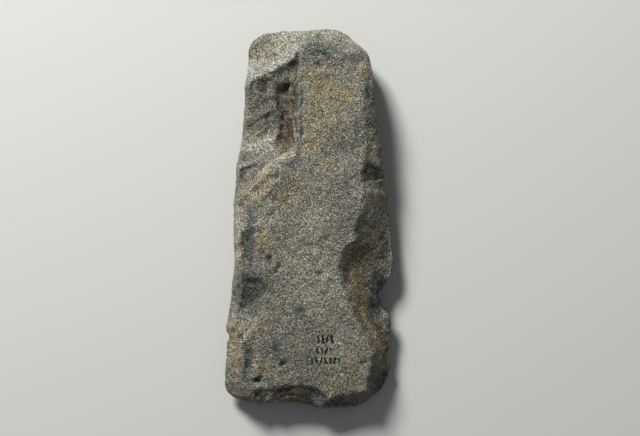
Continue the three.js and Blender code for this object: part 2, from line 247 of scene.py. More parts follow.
# y, shoulder x, foot x and height of the foot above the rim along the broken right side
RIGHT_SIDE = np.array([
    (-64, 17.4, 21, 1),
    (-58, 19, 23, 1),
    (-50, 20.8, 25, 1),
    (-45, 20.6, 24, 3),
    (-41, 19, 21.8, 4),
    (-37, 17.2, 19.6, 4.4),
    (-32, 14.6, 17, 4.8),
    (-27, 12.2, 14.8, 5),
    (-22, 10.6, 13.4, 5.2),
    (-18.5, 9.6, 13.4, 5.4),
    (-12, 9.6, 14, 5.6),
    (-9.8, 11, 15, 5.6),
    (-8.6, 14.2, 16.8, 5.6),
    (-3.5, 15.4, 18, 5.4),
    (2, 16.6, 20.6, 5.6),
    (8, 17.3, 22.2, 5.6),
    (12, 17.3, 22.4, 4.4),
    (17, 17.4, 22.8, 3.4),
    (20, 17.8, 23.4, 3.2),
    (24, 18.4, 23.6, 2.2),
    (29, 18.8, 23.2, 1),
    (34, 18.6, 22.6, 0.6),
    (40, 17.8, 22, 0.5),
    (46, 17.4, 21.6, 0.5),
    (56, 17.2, 20.4, 0.6),
    (62, 17, 18.4, 1),
])
STATION_BLUR = (-1.2, -0.6, 0, 0.6, 1.2)
SHELF_POWER = 1.2
NARROWEST_WALL = 0.5
NARROWEST_SHELF = 1.2

# Ribs left by slanting trims on the left side: they fade in leftwards from one x to another
RIBS = {"heading": 132, "crest": 20.6, "pitch": 4.9, "height": 0.45}
RIBS_WITHIN = {"middle": 18.5, "reach": 7.5, "start": -9.5, "full": -14.5}

# Width and slope of the last strip flaked off along the rim, above and below
UPPER_TRIM, UPPER_TRIM_SLOPE = 1.2, 2
LOWER_TRIM, LOWER_TRIM_SLOPE = 2.6, 1.5
LEAST_ABOVE_RIM = 0.5
LEAST_BELOW_RIM = 0.6

# Slow wanders that keep faces, rim and scar lines from running true: amount, size and seed
WANDER = {
    "face": [(0.3, 24, 0.5)],
    "rim": [(0.6, 26, 4)],
    "upper x": [(0.5, 20, 1), (0.15, 7, 2)],
    "upper y": [(0.5, 20, 3), (0.15, 7, 5)],
    "upper trim": [(0.5, 8, 6)],
    "lower x": [(0.6, 20, 7)],
    "lower y": [(0.6, 20, 8)],
    "lower trim": [(0.9, 11, 9)],
}

# The waves in a wander: how many, the turn, quickening and phase from each to the next, the
# length of the first in sizes, and the divisor that keeps their sum near one
WAVES, WAVE_TURN, WAVE_QUICKENING, WAVE_PHASE = 5, 2.4, 0.21, 1.7
FIRST_WAVE, WAVE_SUM = 1.4, 2.2

# Fraying of the scar lines: size and shift of each octave, the seeds for x and y, the share of it
# that is lost on the right, and the x where that starts and ends
FRAY, FRAY_SEEDS = [(3.4, 0.55), (1.5, 0.3)], (41, 43)
STEADIER = {"share": 0.65, "start": 11, "end": 16}

# Whole numbers that scramble a lattice corner and a seed into a random value
SCRAMBLE = {"corner": (73856093, 19349663, 83492791), "seed": 40503, "product": 1274126177}


def bell(distance):
    """A bell curve: one at no distance, near nought past two."""
    return np.exp(-distance * distance)


def ramp(value, start, end):
    """Nought at start, one at end, a straight line between them and level beyond."""
    return np.clip((value - start) / (end - start), 0, 1)


def along(x, y, heading):
    """Distance of a point in the direction of a heading."""
    turn = math.radians(heading)
    return x * math.cos(turn) + y * math.sin(turn)


def drift(x, y, size, seed):
    """An even, unrepeating wander between about -1 and 1: five sine waves at turning headings."""
    total = 0
    for k in range(WAVES):
        turn = WAVE_TURN * k + seed
        rate = 2 * math.pi * (1 + WAVE_QUICKENING * k) / (FIRST_WAVE * size)
        phase = WAVE_PHASE * k * k + seed
        total = total + np.sin(rate * (x * math.cos(turn) + y * math.sin(turn)) + phase)
    return total / WAVE_SUM


def wander(kind, x, y):
    """Sum of the drifts of one kind."""
    return sum(amount * drift(x, y, size, seed) for amount, size, seed in WANDER[kind])


def upper_face(x, y):
    """The unflaked top: flat, thinner by a power law towards each end, with slow swells."""
    thinner = sum(
        amount * np.maximum((y - start) / length, 0) ** power
        for amount, start, length, power in THINNING
    )
    peak = ramp(y, APEX["start"], APEX["end"]) ** 2 * bell((x - APEX["x"]) / APEX["reach"])
    return THICKNESS - thinner + APEX["height"] * peak + wander("face", x, y)


def rim_height(x, y):
    """Height of the parting edge: level, lower towards the bit, with two raised stretches."""
    drop = RIM["drop"] * ramp(y, RIM["start"], RIM["end"]) ** RIM["power"]
    swells = sum(
        height * bell(np.hypot(x - at_x, y - at_y) / reach)
        for at_x, at_y, reach, height in RIM_SWELLS
    )
    return RIM["height"] - drop + swells + wander("rim", x, y)


def plane_loss(plane, x, y):
    """Loss below a plane: slope times the distance past its line, plus the loss at the line."""
    at_x, at_y, heading, slope, loss = plane
    return loss + slope * along(x - at_x, y - at_y, heading)


def scar_loss(scars, x, y):
    """The deepest scar at each place, each scar being the least of its planes."""
    loss = 0 * x
    for planes in scars.values():
        scar = plane_loss(planes[0], x, y)
        for plane in planes[1:]:
            scar = blend_min(scar, plane_loss(plane, x, y), BLEND["planes"])
        loss = blend_max(loss, scar, BLEND["scars"])
    return loss


def bowl_loss(bowl, x, y):
    """A round scar: a cone inside an ellipse, cut off at its floor."""
    at_x, at_y, half_wide, half_long, slope, floor = bowl
    reach = np.hypot((x - at_x) / half_wide, (y - at_y) / half_long)
    return blend_min(slope * (1 - reach) * min(half_wide, half_long), floor, BLEND["floor"])


def right_side_height(x, y, face, rim):
    """The broken right side: a wall from shoulder to foot, then a shelf that slopes to the rim."""
    stations = RIGHT_SIDE[:, 0]
    shoulder, foot, rise = (
        sum(np.interp(y + shift, stations, column) for shift in STATION_BLUR) / len(STATION_BLUR)
        for column in RIGHT_SIDE[:, 1:].T
    )
    wall = face - (face - rim - rise) * (x - shoulder) / np.maximum(foot - shoulder, NARROWEST_WALL)
    out = np.maximum(x - foot, 0) / np.maximum(right_edge(y) - foot, NARROWEST_SHELF)
    shelf = rim + rise * (1 - out ** SHELF_POWER)
    return blend_max(wall, shelf, BLEND["foot"])


def ribs(x, y):
    """Ribs between slanting trims: a cosine across their heading, faded out to the flat top."""
    at = along(x, y, RIBS["heading"])
    fade = ramp(x, RIBS_WITHIN["start"], RIBS_WITHIN["full"])
    fade = fade * bell((at - RIBS_WITHIN["middle"]) / RIBS_WITHIN["reach"])
    return RIBS["height"] * np.cos(2 * math.pi * (at - RIBS["crest"]) / RIBS["pitch"]) * fade


def round_to_rim(height, rim, depth):
    """Carries a face out to the rim in a quarter round."""
    inwards = np.minimum(depth, RIM["rounding"]) / RIM["rounding"]
    return rim + (height - rim) * np.sqrt(1 - (1 - inwards) ** 2)


def lattice_noise(points, size, seed):
    """Random values at the corners of a cubic lattice, blended smoothly inside each cube.

    Each value is sixteen bits of a scrambled key, as a number from -1 to 1.
    """
    cell = np.floor(points / size).astype(np.int64)
    part = points / size - cell
    part = part * part * (3 - 2 * part)
    total = 0
    for corner in itertools.product((0, 1), repeat=3):
        key = (cell + corner) @ np.array(SCRAMBLE["corner"]) + seed * SCRAMBLE["seed"]
        key = (key ^ (key >> 13)) * SCRAMBLE["product"] & 0x7FFFFFFF
        share = np.prod(np.where(corner, part, 1 - part), axis=-1)
        total = total + share * ((key >> 8 & 0xFFFF) / 32767.5 - 1)
    return total


def fray(x, y, seed):
    """Small random shifts in plan that fray the lines where scars meet: octaves of noise."""
    plan = np.stack([x, y, 0 * x], axis=-1)
    shift = sum(
        amount * lattice_noise(plan, size, seed + k) for k, (size, amount) in enumerate(FRAY)
    )
    return shift * (1 - STEADIER["share"] * ramp(x, STEADIER["start"], STEADIER["end"]))


def upper_height(x, y):
    """The top less the deepest of its scars, with their lines bent by a slow drift and frayed."""
    depth = depth_in(x, y)
    u = x + wander("upper x", x, y) + fray(x, y, FRAY_SEEDS[0])
    v = y + wander("upper y", x, y) + fray(x, y, FRAY_SEEDS[1])
    face = upper_face(x, y)
    rim = rim_height(x, y)
    loss = scar_loss(UPPER_SCARS, u, v)
    for bowl in UPPER_BOWLS:
        loss = blend_max(loss, bowl_loss(bowl, u, v), BLEND["bowl"])
    loss = blend_max(loss, face - right_side_height(u, v, face, rim), BLEND["shoulder"])
    trim = UPPER_TRIM + wander("upper trim", x, y)
    loss = blend_max(loss, UPPER_TRIM_SLOPE * (trim - depth), BLEND["scars"])
    height = blend_max(face - loss + ribs(x, y), rim + LEAST_ABOVE_RIM, BLEND["rim"])
    return round_to_rim(height, rim, depth)


def lower_height(x, y):
    """The underside: flat at nought, rising through its scars to the rim."""
    depth = depth_in(x, y)
    u = x + wander("lower x", x, y)
    v = y + wander("lower y", x, y)
    trim = LOWER_TRIM + wander("lower trim", x, y)
    rise = scar_loss(LOWER_SCARS, u, v)
    rise = blend_max(rise, LOWER_TRIM_SLOPE * (trim - depth), BLEND["scars"])
    rim = rim_height(x, y)
    height = np.maximum(blend_min(rise, rim - LEAST_BELOW_RIM, BLEND["scars"]), 0)
    return round_to_rim(height, rim, depth)


# The blade's skin. Centuries in the ground opened the grain of every face: it is bumpy at 1 to
# 9 mm, pitted where crystals fell out, streaked along the blow on the left scars, and rippled
# in the bit's scoop. The grid is fine enough for bumps of 1 mm; finer grain is in the material.
CELLS_ACROSS, CELLS_ALONG = 146, 334
EDGE_CROWDING = 0.35

# Size and height of each octave of bumps
BUMPS = [(9, 0.36), (4.4, 0.28), (2.3, 0.19), (1.25, 0.13), (0.8, 0.08)]

# Streaks: their heading, sizes and height, and the middle and reach of where they lie
STREAKS = {"heading": 33, "pitch": 1.5, "length": 7, "height": 0.4, "seed": 11}
STREAKED = {"x": -16, "x reach": 9, "y": 22, "y reach": 24}

# Ripples in rings round a point past the bit, which fade in and out with distance from it
RIPPLES = {"x": -5.5, "y": -66, "pitch": 1.7, "height": 0.16}
RIPPLES_FADE_IN, RIPPLES_FADE_OUT = (3, 5), (9, 7.5)

# x, y, radius and depth of the pits that show
PITS = [
    (-8.9, -48.3, 0.9, 0.9),
    (-17.2, -53.8, 1.1, 0.6),
    (-23, -39.1, 0.8, 0.7),
    (-13, -13.2, 0.8, 0.9),
    (-12.6, -14.4, 0.7, 0.7),
    (-10.1, -15.9, 0.8, 0.9),
    (-10.9, -17.4, 0.7, 0.8),
    (3.4, -18, 0.9, 0.8),
    (-3.2, -30.7, 1.5, 0.6),
    (17.6, -48, 1.1, 0.9),
    (3.4, 50.9, 1.3, 0.6),
    (-11, 13.4, 0.9, 0.8),
    (-11.8, 6, 1.0, 0.8),
    (-15.3, 56, 0.7, 0.5),
    (-12.4, 57.9, 0.6, 0.5),
    (-12.2, 54.5, 0.6, 0.5),
    (-8.3, 59, 0.6, 0.45),
    (-17.6, 53.4, 0.6, 0.5),
    (-9.2, 56, 0.8, 0.5),
]

# The small pits between them: how many, their seed, and the ranges of x, y, radius and depth. All
# pits lie above one height.
SMALL_PITS, SMALL_PIT_SEED = 150, 4
SMALL_PIT_RANGES = [(-25, 25), (-58, 58), (0.35, 0.75), (0.1, 0.3)]
PITS_ABOVE = 7

# How far the underside is drawn in, so that its bumps stand clear of the floor, and how much of
# a normal has to point down for that
REST_LIFT = 0.35
FACING_DOWN = 1 / 3

# Metres in a millimetre
MM = 0.001


def pit_depth(points):
    """Sum of the pits, named and scattered, each a bell curve in plan."""
    random = np.random.default_rng(SMALL_PIT_SEED)
    scattered = zip(*(random.uniform(low, high, SMALL_PITS) for low, high in SMALL_PIT_RANGES))
    depth = 0
    for x, y, radius, deep in itertools.chain(PITS, scattered):
        depth = depth + deep * bell(np.hypot(points[:, 0] - x, points[:, 1] - y) / radius)
    return depth


def skin_relief(points):
    """Height to add along the normal: octaves of noise, streaks, ripples and pits."""
    x, y, z = points.T
    relief = sum(height * lattice_noise(points, size, k) for k, (size, height) in enumerate(BUMPS))
    streaked = bell((x - STREAKED["x"]) / STREAKED["x reach"])
    streaked = streaked * bell((y - STREAKED["y"]) / STREAKED["y reach"])
    lengthwise = along(x, y, STREAKS["heading"]) / STREAKS["length"]
    crosswise = along(x, y, STREAKS["heading"] + 90) / STREAKS["pitch"]
    stretched = np.stack([lengthwise, crosswise, z / STREAKS["length"]], axis=-1)
    streaks = lattice_noise(stretched, 1, STREAKS["seed"])
    away = np.hypot(x - RIPPLES["x"], y - RIPPLES["y"])
    rippled = ramp(away, *RIPPLES_FADE_IN) * ramp(away, *RIPPLES_FADE_OUT)
    relief = relief + STREAKS["height"] * streaked * streaks
    relief = relief + RIPPLES["height"] * rippled * np.cos(2 * math.pi * away / RIPPLES["pitch"])
    return relief - pit_depth(points) * (z > PITS_ABOVE)


def crowd(t):
    """Crowds grid lines towards both ends: t less a small share of one whole sine wave."""
    return t - EDGE_CROWDING * np.sin(2 * math.pi * t) / (2 * math.pi)


def vertex_normals(points, quads):
    """Sum of the normals of the triangles round each vertex, two to a quad, made unit length."""
    normals = np.zeros_like(points)
    for corners in ((0, 1, 2), (0, 2, 3)):
        a, b, c = (points[quads[:, corner]] for corner in corners)
        turn = np.cross(b - a, c - a)
        for corner in corners:
            for axis in range(3):
                normals[:, axis] += np.bincount(quads[:, corner], turn[:, axis], len(points))
    return normals / np.linalg.norm(normals, axis=1, keepdims=True)


def blade_grid():
    """Both faces of the blade on one grid of s by t that share its border, as points and quads.

    At two round corners the quad is split from the corner inwards, so that its halves are not flat
    on each other.
    """
    s = crowd(np.linspace(0, 1, CELLS_ACROSS + 1))
    t = crowd(np.linspace(0, 1, CELLS_ALONG + 1))
    x, y = plan_point(*np.meshgrid(s, t))
    border = np.ones(x.shape, bool)
    border[1:-1, 1:-1] = False
    upper = np.where(border, rim_height(x, y), upper_height(x, y))
    lower = lower_height(x, y)
    above = np.arange(x.size).reshape(x.shape)
    below = above.copy()
    below[~border] = x.size + np.arange((~border).sum())
    points = np.concatenate([
        np.stack([x, y, upper], axis=-1).reshape(-1, 3),
        np.stack([x, y, lower], axis=-1)[~border],
    ])
    top = np.stack([above[:-1, :-1], above[:-1, 1:], above[1:, 1:], above[1:, :-1]], axis=-1)
    base = np.stack([below[:-1, :-1], below[1:, :-1], below[1:, 1:], below[:-1, 1:]], axis=-1)
    for quads in (top, base):
        quads[[0, -1], [-1, 0]] = np.roll(quads[[0, -1], [-1, 0]], 1, axis=-1)
    return points, np.concatenate([top.reshape(-1, 4), base.reshape(-1, 4)]), above, below


points, quads, above, below = blade_grid()
normals = vertex_normals(points, quads)
lift = REST_LIFT * ramp(-normals[:, 2], 0, FACING_DOWN)
skin = points + normals * (skin_relief(points) - lift)[:, None]
skin[:, 2] = np.maximum(skin[:, 2], 0)
box_low, box_high = (np.array(corner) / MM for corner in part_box(BLADE))
offset = (box_low + box_high - points.min(axis=0) - points.max(axis=0))[:2] / 2

# The blade's colours. Grey andesite under a buff crust: cream where the crust is whole, slate where
# it is rubbed off, ochre and umber where iron and soil settled. Shade is dark grey, mostly painted
# shade laid on facets, walls and hollows that turn from the lamp. Some slate patches are painted
# shade as well, and a few cream, buff and olive patches are painted light on lit edges and shadowed
# walls. Each hex colour is an albedo.
TINTS = {
    "groundmass": "#6f6d62",
    "ochre": "#80714f",
    "cream": "#858273",
    "buff": "#91856a",
    "slate": "#515350",
    "loam": "#564f3b",
    "umber": "#483d2d",
    "shade": "#373939",
    "olive": "#7d7253",
    "chalk": "#8a8e90",
}

# x, y, half width, half length, heading of the length and strength of each patch on the top.
# The tints are laid in this order: the crust, the soil, the painted shade, the olive crease lines
# and the pale lines along the butt ridge.
STAINS = {
    "ochre": [
        (-9, 55.2, 1.2, 2.2, 30, 0.6),
        (-7.4, 57.4, 0.9, 1.6, 0, 0.5),
        (-16.5, 51.2, 0.8, 1.8, 30, 0.5),
        (5, 38, 7, 12, 90, 0.4),
        (0.5, 47.4, 3, 1.6, 0, 0.5),
        (5.5, 42, 2.2, 4, 20, 0.6),
        (13, 42, 2.4, 3.4, 30, 0.7),
        (0.4, 33, 1.8, 3.4, 90, 0.6),
        (0, 24.4, 2, 3.2, 60, 0.55),
        (5.8, 18.6, 2, 3, 20, 0.45),
        (17.6, 49, 1.4, 2.6, 110, 0.8),
        (-5, 12, 2.2, 3.6, 60, 0.5),
        (-14.6, -7, 2.8, 4.2, 90, 0.5),
        (-13.6, -34, 1.8, 3.6, 60, 0.45),
        (-15.5, -38, 1.6, 2.6, 80, 0.4),
        (-3, -41, 1, 1.4, 0, 0.6),
        (-17.5, -47.5, 2.6, 3, 0, 0.35),
        (-25.6, -47.5, 0.9, 2.4, 80, 0.7),
        (20.4, -5.6, 1.2, 1.6, 60, 0.8),
        (-16, 9, 1.4, 5, 42, 0.5),
    ],
    "cream": [
        (-10.8, 55.6, 6.6, 15, 34, 0.6),
        (11.5, 58.8, 2.8, 8, -22, 1),
        (-17.4, 25, 3.6, 5.6, 10, 0.9),
        (-24.2, -9, 1.3, 10, 90, 0.9),
        (-18.4, -55.4, 0.9, 2.4, 10, 0.7),
        (3.4, -14.6, 2.2, 7, 40, 0.5),
        (2, -18, 9, 20, 95, 0.6),
        # The next two patches are painted light: cream laid over the crescent wall and the strip
        # above the right facet, which lie in shade.
        (12.4, -11.4, 2.4, 6.4, 72, 1),
        (21, 3, 3.8, 6.8, 95, 0.95),
    ],
    "buff": [
        (14.2, -24, 0.7, 3.6, 92, 0.8),
        (20.6, -37, 0.7, 4.4, 118, 0.8),
        (24.4, -43.6, 0.7, 4, 116, 0.8),
        (17.4, -31, 0.7, 4, 120, 0.8),
        (15.8, -13.6, 0.7, 6, 78, 0.6),
        # Partly tan crust, partly painted light on the lit right edge of the groove and the lit
        # sides of the ribs to its left.
        (-4.4, 34.4, 0.9, 1.6, 95, 0.9),
        (-4.6, 26, 0.5, 4.6, 92, 0.8),
        (-8.4, 20.8, 0.8, 5.4, 14, 0.7),
        (-15.6, 16.2, 0.8, 4.4, 42, 0.8),
        (-19, 9.6, 0.8, 4, 44, 0.7),
        (-26, -34, 1.4, 2.8, 85, 0.6),
        (-25.2, -42.8, 1.8, 3.2, 95, 0.9),
        (-21, -38, 0.5, 2.6, 70, 0.9),
        (-22.6, -43.4, 0.6, 4, 65, 0.9),
        (-24.6, -50, 0.5, 4, 90, 0.7),
        (23.6, -36, 1.6, 2.6, -25, 0.9),
    ],
    "slate": [
        (21.4, -28, 2.2, 6, 95, 0.9),
        (2.4, 56.6, 2.2, 3.4, 90, 0.85),
        (6, 54.6, 1.2, 4, -38, 1),
        (14, 53.8, 1.6, 5, 5, 1),
        (-0.4, 57, 1.1, 3.2, 42, 0.9),
        (3.2, 51, 1, 1.2, 0, 0.9),
        # Dark blue-grey rock under the butt ridge, partly painted shade.
        (-8, 49.8, 1.8, 7, 28, 0.9),
        (-10.2, 37, 0.5, 7, 90, 0.8),
        (-3.3, 38, 0.9, 16, 91, 1),
        (-3.3, 24, 0.8, 5, 90, 0.9),
        (-6.8, 18.9, 0.9, 3.4, 8, 0.9),
        (-11, 12, 0.8, 5.4, 88, 0.8),
        (13, 25, 3, 4.6, 60, 0.7),
        (15.8, 28, 1.8, 5, 90, 0.7),
        (20, 37, 1.5, 11, 84, 0.3),
        (-19.9, -5.6, 1.9, 11.6, 92, 1),
        (-19, -24, 6, 7.2, 105, 0.85),
        (-3.1, -30.8, 1.6, 2, 90, 1),
        (-20.2, -46, 1.4, 6.5, 92, 0.9),
        (-21.8, -51.6, 1.2, 3, 110, 0.9),
        (-11.3, -42.5, 1.4, 5.4, 92, 0.9),
        # The next two patches are painted shade on the wall of the valley below the crescent.
        (12.3, -20.6, 1.3, 4.2, 98, 0.85),
        (14.8, -29, 1.1, 3.4, 118, 0.6),
        (25.8, -11, 1.9, 8, 94, 0.9),
        (9.5, -61.6, 1.4, 5, -5, 1),
    ],
    "loam": [
        (18.6, -5.4, 1.8, 1.6, 20, 0.7),
        (21.4, -8, 3.6, 5, 90, 0.5),
        (21.6, -16, 4.6, 7, 90, 0.55),
        (17, -23, 3.2, 6.4, 98, 1),
        (18.4, -30, 2.4, 7, 118, 1),
        (22.6, -38.6, 2.4, 6, 116, 0.9),
        (25.4, -45, 2, 5, 110, 0.9),
        (22, 7, 3.4, 6, 95, 0.1),
    ],
    "umber": [
        (-25.2, -47, 2.4, 10, 92, 0.25),
        (-15.5, 44.4, 1.8, 2.6, 60, 0.9),
        (-7.6, 44.4, 1.6, 3, 0, 1),
        (-5.9, 38.6, 1.6, 5, 86, 0.95),
        (-6.2, 31, 1.5, 4.4, 84, 0.85),
        (-8, 25.6, 1.7, 4.4, 66, 1),
        (-4, -59.4, 1.8, 7, 0, 0.35),
        (-16.4, -57.6, 0.9, 2.6, 20, 0.9),
        (-23, -39.1, 0.7, 1, 30, 0.8),
        (-21.1, -42, 0.4, 2, 75, 0.9),
        (-14.5, 55.6, 0.6, 1.8, 30, 0.5),
        (-11.6, 54.4, 0.6, 2, 30, 0.5),
        (-12.6, 58.2, 0.6, 2.2, 22, 0.5),
        (-6.4, 58.4, 0.5, 1.6, 20, 0.5),
        (-17.4, 53.6, 0.5, 1.4, 40, 0.5),
    ],
    # Dark grey: mostly painted shade on facets, walls and hollows that turn from the lamp and on
    # the wall of the bit's scoop, and in part the dark blue-grey rock of the groove's right wall.
    "shade": [
        (-3.5, 37, 0.9, 15, 91, 0.7),
        (-15.2, 43.8, 2, 3, 55, 0.9),
        (-16.6, 39.6, 3.6, 5.4, 12, 0.5),
        (-20, -24, 3.4, 5, 100, 0.15),
        (-8.6, -56.6, 1, 4, 20, 1),
        (-3, -55.9, 1, 3.6, -6, 1),
        (2.6, -57.6, 1, 3.6, -32, 1),
        (5, -61.8, 1.4, 14, 0, 0.4),
        (-17, -53.7, 0.5, 1.7, -15, 1),
        (19.8, 15, 2.8, 3.2, 90, 0.85),
        (18.9, 42.8, 0.6, 3.2, 96, 0.8),
        (22.6, -25, 2.6, 8.4, 86, 1),
        (24, -54, 2.4, 6, 60, 0.7),
        (-8.8, 38.6, 1.3, 5.4, 88, 0.6),
        (20.6, -22.4, 1.6, 2.6, 60, 0.4),
    ],
    "olive": [
        (15.7, -12.9, 0.9, 6.2, 73, 0.6),
        (14.4, -21.5, 0.8, 3.2, 85, 0.6),
        (15.3, -26.6, 0.8, 3, 118, 0.6),
        (18.5, -32.9, 0.9, 4.8, 119, 0.65),
        (23, -40.4, 1.1, 4.2, 123, 0.75),
        (18, -16.6, 0.7, 6, 54, 0.4),
        # Olive-brown of the valley floor, laid strong as painted light where the crescent wall
        # casts its shadow.
        (17.4, -11.4, 2.2, 4.6, 80, 0.7),
    ],
    "chalk": [
        (-11.4, 51.8, 0.8, 9.6, 31, 0.5),
        (-20, 50.4, 0.8, 4.6, 84, 0.4),
    ],
}

# How a patch falls off towards its edge, and the size and shift of each octave that frays it
STAIN_POWER, STAIN_STEEPNESS = 2.5, 0.83
STAIN_FRAY, STAIN_SEEDS = [(2.6, 1.1), (0.9, 0.44)], (21, 22)

# The range of a normal's z over which the patches fade in from the underside to the top
FACING_UP = (-0.2, 0.2)

# Blotches of ochre and slate all over: size and amount of each octave, strength, and where the
# noise starts to count
MOTTLE, MOTTLE_SEED = [(7, 1), (3.1, 0.6)], 31
MOTTLE_STRENGTH, MOTTLE_FROM = 0.46, 0.15

# Soil in the hollows and wear on the bumps: strength, and the millimetres below or above the
# neighbourhood between which it builds up. No soil stays on the rim's last millimetres.
WIDE_SOIL, FINE_SOIL, WEAR = (0.45, 0.25, 1.6), (0.5, 0.10, 0.55), (0.45, 0.08, 0.45)
SOIL_INSET = (0.8, 3)
WIDE_ROUNDS, FINE_ROUNDS = 60, 6


def linear(hex_colour):
    """An sRGB hex colour as linear red, green and blue: a straight toe, then a power of 2.4."""
    channels = np.array([int(hex_colour[k:k + 2], 16) / 255 for k in (1, 3, 5)])
    return np.where(channels <= 0.04045, channels / 12.92, ((channels + 0.055) / 1.055) ** 2.4)


def stain_share(points, patches):
    """Share of each point that is stained: the strongest of the patches, their edges frayed.

    A patch is its strength times a flat-topped bell of the distance from its middle.
    """
    octaves = list(enumerate(STAIN_FRAY))
    shift_x, shift_y = (
        sum(amount * lattice_noise(points, size, seed + 2 * k) for k, (size, amount) in octaves)
        for seed in STAIN_SEEDS
    )
    share = 0
    for x, y, half_wide, half_long, heading, strength in patches:
        dx, dy = points[:, 0] - x + shift_x, points[:, 1] - y + shift_y
        lengthwise = along(dx, dy, heading) / half_long
        crosswise = along(dx, dy, heading + 90) / half_wide
        edge = np.hypot(lengthwise, crosswise) ** STAIN_POWER
        share = np.maximum(share, strength * bell(STAIN_STEEPNESS * edge))
    return share


def smoothed(grid, rounds):
    """The grid after rounds of averaging each value with its neighbours, one two one."""
    for _ in range(rounds):
        for axis, pads in enumerate([((1, 1), (0, 0)), ((0, 0), (1, 1))]):
            wide = np.pad(grid, pads, mode="edge")
            size = grid.shape[axis]
            low, high = (np.take(wide, range(start, start + size), axis) for start in (0, 2))
            grid = (low + 2 * grid + high) / 4
    return grid


def hollowness(rounds):
    """How far each vertex lies inwards of the average round it: down on top, up underneath."""
    heights = skin[below, 2], skin[above, 2]
    values = np.zeros(len(skin))
    values[below] = heights[0] - smoothed(heights[0], rounds)
    values[above] = smoothed(heights[1], rounds) - heights[1]
    return values


colour = np.tile(linear(TINTS["groundmass"]), (len(skin), 1))


def tint(name, share):
    """Lays a tint over the colour so far, by its share at each vertex."""
    colour[:] = mix(colour, linear(TINTS[name]), np.clip(share, 0, 1)[:, None])


mottle = sum(
    amount * lattice_noise(skin, size, MOTTLE_SEED + k) for k, (size, amount) in enumerate(MOTTLE)
)
tint("ochre", MOTTLE_STRENGTH * ramp(mottle, MOTTLE_FROM, 1))
tint("slate", MOTTLE_STRENGTH * ramp(-mottle, MOTTLE_FROM, 1))
upward = ramp(normals[:, 2], *FACING_UP)
for name, patches in STAINS.items():
    tint(name, upward * stain_share(skin, patches))
soil = sum(
    strength * ramp(hollowness(rounds), start, end)
    for rounds, (strength, start, end) in ((WIDE_ROUNDS, WIDE_SOIL), (FINE_ROUNDS, FINE_SOIL))
)
tint("umber", soil * ramp(depth_in(points[:, 0], points[:, 1]), *SOIL_INSET))
tint("cream", WEAR[0] * ramp(-hollowness(FINE_ROUNDS), *WEAR[1:]))

mesh = bpy.data.meshes.new("weathered_blade")
mesh.from_pydata((skin + [*offset, 0]) * MM, [], quads)
mesh.shade_smooth()
crust_layer = mesh.attributes.new("crust", "FLOAT_COLOR", "POINT")
crust_colours = np.column_stack([colour, np.ones(len(colour))]).astype(np.float32)
crust_layer.data.foreach_set("color", crust_colours.ravel())
blade = bpy.data.objects.new("weathered_blade", mesh)
bpy.context.collection.objects.link(blade)

# Weathered andesite, struck and then eroded in soil: dull and open-grained, with pale feldspar
# laths and dark pyroxene speckled through a grey mass, pinholes, and no gloss. The real grains
# are mostly under 0.1 mm, too fine to show, so crystals are drawn coarser, 0.24 mm wide.
GRAIN_MM, CRYSTAL_MM, TINGE_MM = 0.6, 0.24, 2.4
GRAIN_ROUGHNESS = 0.6

# Range of brightness from crystal to crystal and from grain to grain, and the drop that keeps
# the mean, in doublings, with the share of grey in what they add to the crust
CRYSTAL_RANGE, GRAIN_RANGE, TONE_DROP = 3.4, 0.9, 0.16
GREYNESS = 0.5

# Faint tinges that multiply the crust, as linear factors, and the noise from which one passes
# into the other
WARM, COOL = (1.03, 1.0, 0.93, 1), (0.98, 1.0, 1.03, 1)
TINGE_FROM, TINGE_TO = 0.38, 0.62

# Pale laths and dark pores, and the share of crystals that are one or the other
FLECK, FLECK_SHARE = "#bfbbad", 0.02
PORE, PORE_SHARE = "#1e1c19", 0.04
SPECK_STRENGTH = 0.8
BUMP_MM, CRYSTAL_BUMP = 0.5, 0.3
STONE_ROUGHNESS, STONE_SPECULAR = 0.92, 0.25

# Three rows of dark pen strokes on the lower half of the top. They are marks, not letters: each
# row's middle y, first and last x, and height. Nothing below INK_ABOVE is inked, and each stroke
# leans by the sine of its number times a turn.
INK = "#161514"
INK_ROWS = [(-39.75, 2.2, 8.05, 2.9), (-43.5, 1.8, 7.1, 2.1), (-46.9, 0.1, 10.1, 2.1)]
INK_ABOVE = 6
STROKE_PITCH, STROKE_WIDTH, STROKE_TURN, STROKE_LEAN = 1.5, 0.62, 2.4, 0.22
WOBBLE_MM, STROKE_WOBBLE = 1.6, 0.6

andesite = bpy.data.materials.new("weathered_andesite")
andesite.use_nodes = True
tree = andesite.node_tree


def add(kind, sockets, **settings):
    """Adds a node to the stone, sets its properties, and links or sets each socket named.

    A node that is given for a socket stands for its first output.
    """
    node = tree.nodes.new("ShaderNode" + kind)
    for name, value in settings.items():
        setattr(node, name, value)
    for name, value in sockets.items():
        if isinstance(value, bpy.types.Node):
            value = value.outputs[0]
        if isinstance(value, bpy.types.NodeSocket):
            tree.links.new(value, node.inputs[name])
        else:
            node.inputs[name].default_value = value
    return node


def socket_colour(hex_colour):
    """A hex colour as the four linear numbers that a colour socket takes."""
    return (*linear(hex_colour), 1)


def drawn_over(surface, hex_colour, share, strength):
    """A plain colour mixed over the surface so far, by a share times a strength."""
    part = add("Math", {0: share, 1: strength}, operation="MULTIPLY")
    return add("MixRGB", {"Fac": part, "Color1": surface, "Color2": socket_colour(hex_colour)})


place = add("TexCoord", {}).outputs["Object"]
crust = add("Attribute", {}, attribute_name="crust").outputs["Color"]
grain_sockets = {"Scale": 1 / (GRAIN_MM * MM), "Detail": 2.0, "Roughness": GRAIN_ROUGHNESS}
grain = add("TexNoise", {"Vector": place, **grain_sockets})
mosaic = add("TexVoronoi", {"Vector": place, "Scale": 1 / (CRYSTAL_MM * MM)})
crystals = add("SeparateColor", {"Color": mosaic.outputs["Color"]}).outputs

